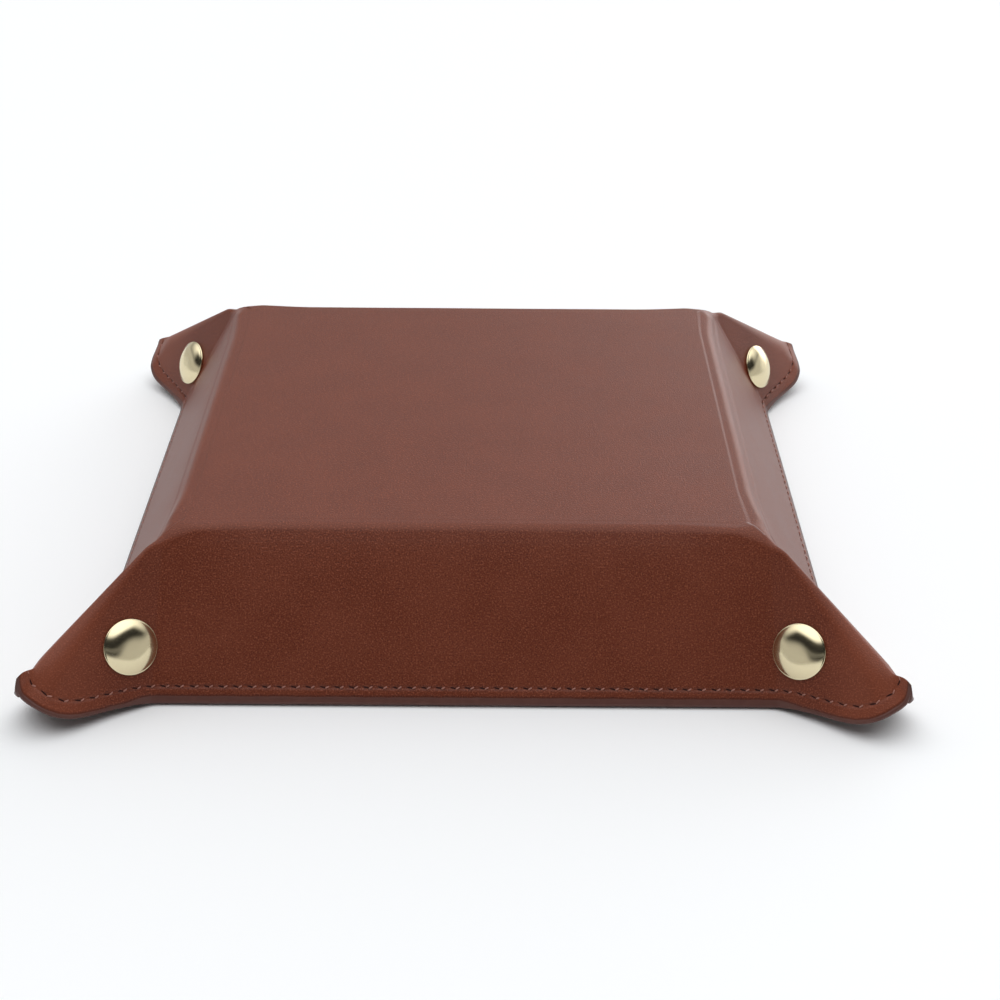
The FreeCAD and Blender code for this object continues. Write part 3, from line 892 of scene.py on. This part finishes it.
def cap_profile(snap, size):
    """Half section of a cap: post, underside, rolled rim and dome, as radius and height.

    The dome falls from its height with a power of the share of its radius.
    """
    rise = snap.cap_height - snap.rim_height
    edge = snap.cap_radius - DOME_IN
    roll = np.radians(np.linspace(*ROLL_TURN, 12))
    rim = np.stack([edge - ROLL_IN + ROLL_RADIUS * np.cos(roll),
                    ROLL_RADIUS + ROLL_RADIUS * np.sin(roll)], -1)
    dome = np.linspace(edge, POLE, 40)
    arch = np.stack([dome, snap.cap_height - rise * (dome / edge) ** snap.dome_power], -1)
    foot = -size.leather - size.lining - snap.post_grip
    post = np.array([[POLE, foot], [snap.post_radius, foot], [snap.post_radius, 0.0],
                     [edge - UNDER_IN, 0.0]])
    return np.concatenate([post, rim, arch])


def cap_piece(name, quarter, mirrored):
    """Domed cap and its post: the half section turned about the snap's axis on the flap."""
    scene = bpy.context.scene
    size, snap = scene.tray_sheet, scene.tray_snaps
    profile = cap_profile(snap, size)
    angle = math.atan(VALLEY_SLOPE) + math.asin((snap.cap_radius + snap.valley_gap) / snap.distance)
    spot = np.array([math.sin(angle), -math.cos(angle), 0.0]) * snap.distance
    around = np.arange(snap.sides) * 2 * math.pi / snap.sides
    points = np.stack([profile[:, :1] * np.cos(around), profile[:, :1] * np.sin(around),
                       profile[:, 1:] + 0 * around], -1).reshape(-1, 3)
    points = (BASE_CORNER + (spot + points) @ FLAP_TURN.T) @ placed(quarter, mirrored).T
    piece = new_mesh(name, points, tube_faces(1, len(profile), snap.sides, mirrored))
    return finished(piece, "gold")


class Wire:
    """A socket that takes part in Python arithmetic: each operation adds its node."""

    def __init__(self, finish, socket):
        self.finish, self.socket = finish, socket

    def __add__(self, other):
        return self.finish.math("ADD", self, other)

    def __sub__(self, other):
        return self.finish.math("SUBTRACT", self, other)

    def __rsub__(self, other):
        return self.finish.math("SUBTRACT", other, self)

    def __mul__(self, other):
        return self.finish.math("MULTIPLY", self, other)

    def __pow__(self, other):
        return self.finish.math("POWER", self, other)

    __radd__ = __add__
    __rmul__ = __mul__


class Finish:
    """Node tree of a material or of the world, filled from Python expressions."""

    def __init__(self, name, world=None):
        self.block = world or bpy.data.materials.new("tray_" + name)
        self.block.use_nodes = True
        self.tree = self.block.node_tree
        self.tree.nodes.clear()

    def node(self, kind, inputs=None, out=0, **settings):
        """Adds a node with its settings, fills its sockets with values or wires, gives an output."""
        made = self.tree.nodes.new(kind)
        for key, value in settings.items():
            setattr(made, key, value)
        for key, value in (inputs or {}).items():
            if isinstance(value, Wire):
                self.tree.links.new(value.socket, made.inputs[key])
            else:
                made.inputs[key].default_value = value
        return Wire(self, made.outputs[out]) if len(made.outputs) else None

    def math(self, operation, *values):
        """Math node on values or wires."""
        return self.node("ShaderNodeMath", dict(enumerate(values)), operation=operation)

    def mix(self, factor, first, second):
        """Mix of two colours."""
        first, second = (v if isinstance(v, Wire) else tuple(v)[:3] + (1.0,) for v in (first, second))
        return self.node("ShaderNodeMix", {0: factor, 6: first, 7: second}, 2,
                         data_type="RGBA", blend_type="MIX")

    def noise(self, vector, scale, detail=2.0, rough=0.5):
        """Noise at a scale in repeats per metre, from 0 to 1."""
        return self.node("ShaderNodeTexNoise", {"Vector": vector, "Scale": scale, "Detail": detail,
                                                "Roughness": rough}, noise_dimensions="3D")

    def stretched(self, vector, scale):
        """A vector scaled along each of its axes."""
        return self.node("ShaderNodeMapping", {"Vector": vector, "Scale": scale})

    def step(self, value, low, high):
        """Smooth step of a wire from 0 at low to 1 at high."""
        return self.node("ShaderNodeMapRange", {"Value": value, "From Min": low, "From Max": high,
                                                "To Min": 0.0, "To Max": 1.0},
                         interpolation_type="SMOOTHSTEP")

    def parts(self, vector):
        """The three components of a vector."""
        split = self.node("ShaderNodeSeparateXYZ", {"Vector": vector}).socket.node
        return [Wire(self, output) for output in split.outputs]

    def place(self):
        """The object's own coordinates."""
        return self.node("ShaderNodeTexCoord", out=3)

    def unsigned(self, value):
        """A value without its sign."""
        return self.math("ABSOLUTE", value)

    def seen(self):
        """1 where the camera looks straight at the surface or the sky, otherwise 0."""
        return self.node("ShaderNodeLightPath")

    def fraction(self, value):
        """Distance to the nearest whole number, with its sign."""
        return value - self.math("ROUND", value)

    def bump(self, height, strength, distance):
        """Surface normal of a height from 0 to 1 over a distance in metres."""
        return self.node("ShaderNodeBump", {"Height": height, "Strength": strength,
                                            "Distance": distance})

    def surface(self, inputs):
        """Principled surface as the material's output."""
        shader = self.node("ShaderNodeBsdfPrincipled", inputs)
        self.node("ShaderNodeOutputMaterial", {"Surface": shader})


def toned(shade, strength):
    """A colour made darker or lighter."""
    return [v * strength for v in shade]


# Noise of the leather, in repeats per metre
FLECKS, PORES, CLOUDS, WOBBLE, BRUSHING = 2300, 2500, 60, 260, 420
EAR_HIGHLIGHT_BAND = (12 * MM, 28 * MM)       # past the base's sides, where the painted highlight on the ears begins
EAR_BAND = (82 * MM, 92 * MM)        # along the seam, where the painted edge becomes narrower
EAR_NARROWING = 0.95                 # by so many millimetres
# Millimetres from the rim between which the paint ends, and the painted shadow along its lip begins and ends
PAINT_END, LIP_SHADOW_START, LIP_SHADOW_END = (2.25, 1.95), (1.75, 2.15), (2.75, 2.3)


def leather_finish(name, tone, light, deep, paint, rough):
    """Smooth leather: grain with dark pores and light flecks that are also painted glints, painted highlights
    along the folds and on the ears, needle slots with painted shade, a painted shadow along the paint's lip, and
    the painted edge.
    """
    seam = bpy.context.scene.tray_seam
    f = Finish(name)
    flat = f.node("ShaderNodeUVMap", uv_map="flat")
    x, y, _ = f.parts(flat)
    nearer = f.math("MINIMUM", f.unsigned(x), f.unsigned(y))
    ear_highlight = f.step(nearer, HALF_BASE + EAR_HIGHLIGHT_BAND[0], HALF_BASE + EAR_HIGHLIGHT_BAND[1])
    along, inwards, _ = f.parts(f.node("ShaderNodeUVMap", uv_map="seam"))
    bend = f.node("ShaderNodeAttribute", out=2, attribute_name="bend")
    grain_and_glint, pore = f.noise(flat, FLECKS, 1.0), f.noise(flat, PORES, 1.0)
    cloud = f.noise(flat, CLOUDS, 3.0, 0.55)
    near = f.fraction(along - seam.slot_phase)
    lowered = inwards + near * seam.slot_slant
    slot = 1.0 - f.step((near * (seam.pitch / seam.slot_half)) ** 2.0
                        + (lowered * (seam.pitch / seam.slot_thick)) ** 2.0, 0.45, 1.25)
    wobble = (f.noise(flat, WOBBLE) - 0.5) * 0.5
    on_ear = f.step(f.unsigned(along), EAR_BAND[0] / seam.pitch, EAR_BAND[1] / seam.pitch)
    edge = inwards * (seam.pitch / MM) + (seam.inset / MM) + wobble + on_ear * EAR_NARROWING
    painted = f.step(edge, *PAINT_END)
    lip_shadow = f.step(edge, *LIP_SHADOW_START) * f.step(edge, *LIP_SHADOW_END)
    tint = f.mix(f.step(cloud, 0.34, 0.68) * 0.12, tone, light)
    # Light flecks of the grain in the colour: grain, and painted glints as well
    tint = f.mix(f.step(grain_and_glint, 0.46, 0.76), tint, light)
    tint = f.mix(f.step(pore, 0.48, 0.30) * 0.5, tint, deep)
    # Lighter along the folds, where the mean normal shrinks, and on the ears past the base's sides: painted
    # highlights
    tint = f.mix(f.step(bend, 0.015, 0.12) * 0.15 + ear_highlight * 0.32, tint, light)
    # Needle slots darkened in the colour: painted shade in the holes
    tint = f.mix(slot, tint, deep)
    # Dark line along the paint's lip: painted shadow
    tint = f.mix(lip_shadow * 0.5, tint, deep)
    shaded = f.mix(f.noise(flat, BRUSHING), toned(paint, 0.85), toned(paint, 1.25))
    tint = f.mix(painted, tint, shaded)
    gloss = rough + (cloud - 0.5) * 0.08 + (grain_and_glint - 0.5) * 0.2 + slot * 0.25 - painted * 0.06
    height = (grain_and_glint * 0.7 + pore * 0.3) * (1.0 - painted * 0.8) - slot * 0.9 - lip_shadow * 0.4
    f.surface({"Base Color": tint, "Roughness": gloss, "IOR": 1.33,
               "Normal": f.bump(height, 1.0, 0.13 * MM)})


def thread_finish(shades):
    """Waxed thread: fine twist along the object's own coordinates."""
    f = Finish("thread")
    twist = f.noise(f.place(), 5200, 2.0, 0.6)
    tint = f.mix(twist, toned(shades.thread, 0.6), shades.thread)
    f.surface({"Base Color": tint, "Roughness": 0.5 + (twist - 0.5) * 0.2, "IOR": 1.45,
               "Normal": f.bump(twist, 0.4, 0.05 * MM)})


def gold_finish(shades):
    """Polished pale gold plating with faint rubbing marks."""
    f = Finish("gold")
    place = f.place()
    rub = f.noise(f.stretched(place, (1.0, 1.0, 4.0)), 900, 3.0, 0.6)
    cloud = f.step(f.noise(place, 160), 0.35, 0.7)
    tint = f.mix(cloud * 0.4, shades.gold, toned(shades.gold, 0.93))
    f.surface({"Base Color": tint, "Metallic": 1.0, "Roughness": 0.13 + rub * 0.07,
               "Normal": f.bump(rub, 0.05, 0.02 * MM)})


def board_finish(shades):
    """Pressed fibre board."""
    f = Finish("board")
    fibre = f.noise(f.stretched(f.place(), (1.0, 2.4, 1.0)), 900, 4.0, 0.7)
    tint = f.mix(fibre, toned(shades.board, 0.7), toned(shades.board, 1.2))
    f.surface({"Base Color": tint, "Roughness": 0.88 + (fibre - 0.5) * 0.1,
               "Normal": f.bump(fibre, 0.5, 0.1 * MM)})


# The finish of a frame's node, by the first of these words in its name
NODE_FINISHES = {"board": "board", "socket": "gold", "stud": "gold", "cap": "gold",
                 "thread": "thread", "lining": "lining", "leather": "leather", "ridge": "leather"}


class TRAY_OT_finishes(bpy.types.Operator):
    """Makes the materials and gives them to the frame's nodes"""
    bl_idname = "tray.finishes"
    bl_label = "Make finishes"

    def execute(self, context):
        shades = context.scene.tray_colours
        deep, paint = shades.leather_dark_and_shade, shades.paint
        leather_finish("leather", shades.leather, shades.leather_light_and_highlight, deep, paint, 0.42)
        # The lighter lining colour carries the lining's random clouds and its painted glints and highlights
        leather_finish("lining", shades.lining, toned(shades.lining, 1.5), deep, paint, 0.6)
        thread_finish(shades)
        gold_finish(shades)
        board_finish(shades)
        for name, node in frame["nodes"].items():
            finish = next(made for word, made in NODE_FINISHES.items() if word in name)
            node.data.materials.clear()
            node.data.materials.append(made_finish(finish))
        return {"FINISHED"}


class TRAY_OT_base(bpy.types.Operator):
    """Base of the outer leather and of the lining"""
    bl_idname = "tray.base"
    bl_label = "Make base"

    def execute(self, context):
        patch = base_patch(context.scene.tray_sheet)
        for layer in LAYERS:
            piece = layer_piece("tray_bottom_" + layer, patch, layer)
            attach(piece, "tray_base")
            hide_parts("base_" + layer)
        return {"FINISHED"}


class TRAY_OT_creases(bpy.types.Operator):
    """Strips of both layers that bend along the base creases"""
    bl_idname = "tray.creases"
    bl_label = "Make crease strips"
    BENT_SHARE = 0.8        # of the strip's width

    def execute(self, context):
        size = context.scene.tray_sheet
        patch = crease_patch(size)
        half = size.crease_half * self.BENT_SHARE
        middle = np.array([0.0, -HALF_BASE, BASE_CORNER[2]])
        for quarter, wall in enumerate(WALLS):
            move = placed(quarter, False)
            start = move @ (middle + np.array([0.0, half, 0.0]))
            end = move @ (middle + WALL_TURN @ np.array([0.0, -half, 0.0]))
            for layer in LAYERS:
                piece = layer_piece(f"{wall}_crease_{layer}", patch, layer, quarter)
                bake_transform(piece)
        return {"FINISHED"}


class TRAY_OT_walls(bpy.types.Operator):
    """The four walls of both layers"""
    bl_idname = "tray.walls"
    bl_label = "Make walls"

    def execute(self, context):
        patch = wall_patch(context.scene.tray_sheet)
        for quarter, wall in enumerate(WALLS):
            for layer in LAYERS:
                piece = layer_piece(f"{wall}_side_{layer}", patch, layer, quarter)
                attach(piece, wall + "_wall")
                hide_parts(f"{wall}_wall_{layer}")
        return {"FINISHED"}


class TRAY_OT_ears(bpy.types.Operator):
    """Pinched ears: valley strips, half ears and ridge strips of both layers"""
    bl_idname = "tray.ears"
    bl_label = "Make ears"

    def execute(self, context):
        size = context.scene.tray_sheet
        ridge_start = size.straight + size.corner_radius * math.radians(size.ridge_turn)
        tip = size.straight + size.corner_radius * math.pi / 4
        spans = {"valley": (-size.valley_wide, size.valley_narrow),
                 "flap": (size.valley_narrow, ridge_start), "roll": (ridge_start, tip)}
        patches = {(part, front): sector_patch(sector_runs(*span, size), size, tip_curl(size, front))
                   for part, span in spans.items() for front in (True, False)}
        for quarter, wall in enumerate(WALLS):
            for mirrored, neighbour in half_ears(quarter):
                ear = f"{wall}_ear_{neighbour}"
                valley, ridge = ear_folds(quarter, mirrored)
                for layer in LAYERS:
                    strip, flap, roll = (
                        layer_piece(f"{ear}_{part}_soft_{layer}", patches[part, "front" in ear],
                                    layer, quarter, mirrored, part != "valley") for part in spans)
                    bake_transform(strip)
                    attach(flap, ear)
                    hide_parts(f"{ear}_{layer}")
                    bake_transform(roll)
                    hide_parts(ear + "_ridge")
        return {"FINISHED"}


class TRAY_OT_seams(bpy.types.Operator):
    """Thread of the lockstitch seam along the whole rim"""
    bl_idname = "tray.seams"
    bl_label = "Make seams"

    def execute(self, context):
        size, seam = context.scene.tray_sheet, context.scene.tray_seam
        wall_end = HALF_BASE - size.valley_wide
        turn = math.radians(size.ridge_turn) * (size.corner_radius - seam.inset)
        ridge_start = HALF_BASE + size.straight + turn
        tip = HALF_BASE + size.straight + (size.corner_radius - seam.inset) * math.pi / 4
        for quarter, wall in enumerate(WALLS):
            piece = seam_piece(wall + "_seam", -wall_end, wall_end, quarter)
            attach(piece, wall + "_wall")
            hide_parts(wall + "_wall_thread")
            for mirrored, neighbour in half_ears(quarter):
                ear = f"{wall}_ear_{neighbour}"
                lift = tip_curl(size, "front" in ear)
                valley, ridge = ear_folds(quarter, mirrored)
                piece = seam_piece(ear + "_seam", wall_end, ridge_start, quarter, mirrored, lift)
                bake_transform(piece)
                piece = seam_piece(ear + "_roll_seam", ridge_start, tip, quarter, mirrored, lift)
                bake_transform(piece)
        return {"FINISHED"}


class TRAY_OT_caps(bpy.types.Operator):
    """Eight domed snap caps"""
    bl_idname = "tray.caps"
    bl_label = "Make snap caps"

    def execute(self, context):
        for quarter, wall in enumerate(WALLS):
            for mirrored, neighbour in half_ears(quarter):
                piece = cap_piece(f"{wall}_snap_{neighbour}", quarter, mirrored)
                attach(piece, f"{wall}_ear_{neighbour}")
                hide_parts(f"{wall}_cap_{neighbour}")
        return {"FINISHED"}


# Pairs are the values between which a band of the sky's light grows: sines of heights, except
# LOW_AHEAD, which falls with the height too, and ROOM_SIDE, which is how far a heading is behind
BACK_WHOLE = 0.95
LOW_HEIGHT, LOW_AHEAD, LOW_SLOPE = (0.36, 0.2), (-1.2, -1.0), 1.5
ROOM_LOW, ROOM_HIGH, ROOM_SIDE = (0.30, 0.40), (0.82, 0.68), (0.2, -0.25)


class TRAY_OT_stage(bpy.types.Operator):
    """Floor, sky light and camera"""
    bl_idname = "tray.stage"
    bl_label = "Set the stage"

    def execute(self, context):
        scene = context.scene
        self.floor(scene.tray_stage, scene.tray_colours)
        self.sky(scene, scene.tray_stage)
        self.camera(scene, scene.tray_stage)
        scene.view_settings.view_transform = "Standard"
        return {"FINISHED"}

    def floor(self, stage, shades):
        """Plain level floor, a little brighter for the camera than for the light."""
        corners = stage.floor_reach * np.array([[-1, -1, 0], [1, -1, 0], [1, 1, 0], [-1, 1, 0]])
        floor = new_mesh("floor", corners, [[0, 1, 2, 3]])
        f = Finish("floor")
        tint = f.mix(f.seen(), shades.floor, toned(shades.floor, stage.floor_seen))
        f.surface({"Base Color": tint, "Roughness": 0.75, "Specular IOR Level": 0.2})
        floor.data.materials.append(f.block)

    def sky(self, scene, stage):
        """Light from overhead and from behind, a dark band round the camera, a pale backdrop."""
        world = scene.world or bpy.data.worlds.new("sky")
        scene.world = world
        f = Finish("sky", world)
        x, y, z = f.parts(f.node("ShaderNodeTexCoord"))
        turn = stage.back_heading
        behind = f.step(x * math.sin(turn) + y * math.cos(turn), stage.back_start, BACK_WHOLE)
        low = f.step(z, *LOW_HEIGHT) * f.step(y - z * LOW_SLOPE, *LOW_AHEAD)
        room = f.step(z, *ROOM_LOW) * f.step(z, *ROOM_HIGH) * f.step(y, *ROOM_SIDE)
        strength = f.step(z, stage.zenith_start, 1.0) * stage.zenith
        strength = (strength + behind * stage.back + low * stage.low) * (1.0 - room * stage.room)
        seen = f.seen()
        strength = strength * (1.0 - seen) + seen * stage.backdrop
        glow = f.node("ShaderNodeBackground", {"Color": (1.0, 1.0, 1.0, 1.0), "Strength": strength})
        f.node("ShaderNodeOutputWorld", {"Surface": glow})

    def camera(self, scene, stage):
        """Camera from its place, tilt, yaw and roll."""
        camera = bpy.data.objects.new("camera", bpy.data.cameras.new("camera"))
        scene.collection.objects.link(camera)
        down, yaw, roll = stage.camera_down, stage.camera_yaw, stage.camera_roll
        ahead = np.array([math.sin(yaw) * math.cos(down), math.cos(yaw) * math.cos(down),
                          -math.sin(down)])
        right = np.array([math.cos(yaw), -math.sin(yaw), 0.0])
        up = np.cross(right, ahead)
        turned = math.cos(roll) * right + math.sin(roll) * up
        upright = -math.sin(roll) * right + math.cos(roll) * up
        matrix = np.eye(4)
        matrix[:3, :3] = np.stack([turned, upright, -ahead], -1)
        matrix[:3, 3] = stage.camera_place
        camera.matrix_world = Matrix(matrix.tolist())
        camera.data.lens = stage.lens
        camera.data.sensor_width = 36.0
        camera.data.clip_start = 0.01
        scene.camera = camera


class TRAY_PT_panel(bpy.types.Panel):
    """Lists the sizes, colours and steps of the tray"""
    bl_label = "Valet tray"
    bl_idname = "TRAY_PT_panel"
    bl_space_type = "VIEW_3D"
    bl_region_type = "UI"
    bl_category = "Tray"

    def draw(self, context):
        for step in STEPS:
            self.layout.operator(step.bl_idname)
        for name in GROUPS:
            group = getattr(context.scene, name)
            box = self.layout.box()
            for key in group.__annotations__:
                box.prop(group, key)


GROUPS = {"tray_sheet": TraySheetSizes, "tray_seam": TraySeamSizes, "tray_snaps": TraySnapSizes,
          "tray_colours": TrayColours, "tray_stage": TrayStageSettings}
STEPS = (TRAY_OT_finishes, TRAY_OT_base, TRAY_OT_creases, TRAY_OT_walls, TRAY_OT_ears, TRAY_OT_seams,
         TRAY_OT_caps, TRAY_OT_stage)


def register():
    for group in GROUPS.values():
        bpy.utils.register_class(group)
    for name, group in GROUPS.items():
        setattr(bpy.types.Scene, name, PointerProperty(type=group))
    for step in STEPS + (TRAY_PT_panel,):
        bpy.utils.register_class(step)


def unregister():
    for step in (TRAY_PT_panel,) + STEPS[::-1]:
        bpy.utils.unregister_class(step)
    for name, group in GROUPS.items():
        delattr(bpy.types.Scene, name)
        bpy.utils.unregister_class(group)


def main():
    register()
    for step in STEPS:
        getattr(bpy.ops.tray, step.bl_idname.split(".")[1])()


if __name__ == "__main__":
    main()
